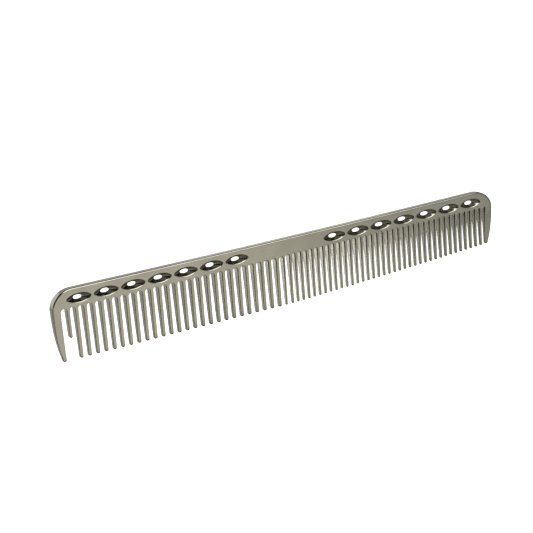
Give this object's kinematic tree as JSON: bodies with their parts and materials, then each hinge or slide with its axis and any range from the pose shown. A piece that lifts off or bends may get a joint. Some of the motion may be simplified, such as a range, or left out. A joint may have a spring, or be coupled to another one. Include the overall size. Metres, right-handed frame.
{
  "type": "grooming comb",
  "caption": "Flat steel grooming comb with an eye-holed spine, a coarse half, a shorter fine half, guard teeth at both ends and one short sectioning tooth.",
  "frame": {"origin": "centre of the comb's box: half way along its length, in the middle of its thickness, half way between the top of the spine and the tips of the coarse teeth", "axes": "+X along the comb from the coarse end to the fine end, +Z from the tooth tips to the spine, -Y out of the front face"},
  "size_m": [0.18, 0.0034, 0.0252],
  "materials": {
    "steel": "satin, warm gunmetal grey, softly polished edges"
  },
  "bodies": {
    "root": {"spine": "steel", "guard_tooth_coarse_end": "steel", "sectioning_tooth": "steel", "coarse_tooth_01": "steel", "coarse_tooth_02": "steel", "coarse_tooth_03": "steel", "coarse_tooth_04": "steel", "coarse_tooth_05": "steel", "coarse_tooth_06": "steel", "coarse_tooth_07": "steel", "coarse_tooth_08": "steel", "coarse_tooth_09": "steel", "coarse_tooth_10": "steel", "coarse_tooth_11": "steel", "coarse_tooth_12": "steel", "coarse_tooth_13": "steel", "coarse_tooth_14": "steel", "coarse_tooth_15": "steel", "coarse_tooth_16": "steel", "coarse_tooth_17": "steel", "coarse_tooth_18": "steel", "coarse_tooth_19": "steel", "coarse_tooth_20": "steel", "coarse_tooth_21": "steel", "coarse_tooth_22": "steel", "coarse_tooth_23": "steel", "coarse_tooth_24": "steel", "coarse_tooth_25": "steel", "coarse_tooth_26": "steel", "coarse_tooth_27": "steel", "fine_teeth_01": "steel", "fine_teeth_02": "steel", "fine_teeth_03": "steel", "fine_teeth_04": "steel", "fine_teeth_05": "steel", "fine_teeth_06": "steel", "fine_teeth_07": "steel", "fine_teeth_08": "steel", "fine_teeth_09": "steel", "fine_teeth_10": "steel", "fine_teeth_11": "steel", "fine_teeth_12": "steel", "fine_teeth_13": "steel", "fine_teeth_14": "steel", "fine_teeth_15": "steel", "fine_teeth_16": "steel", "fine_teeth_17": "steel", "fine_teeth_18": "steel", "fine_teeth_19": "steel", "guard_tooth_fine_end": "steel"}
  },
  "joints": []
}
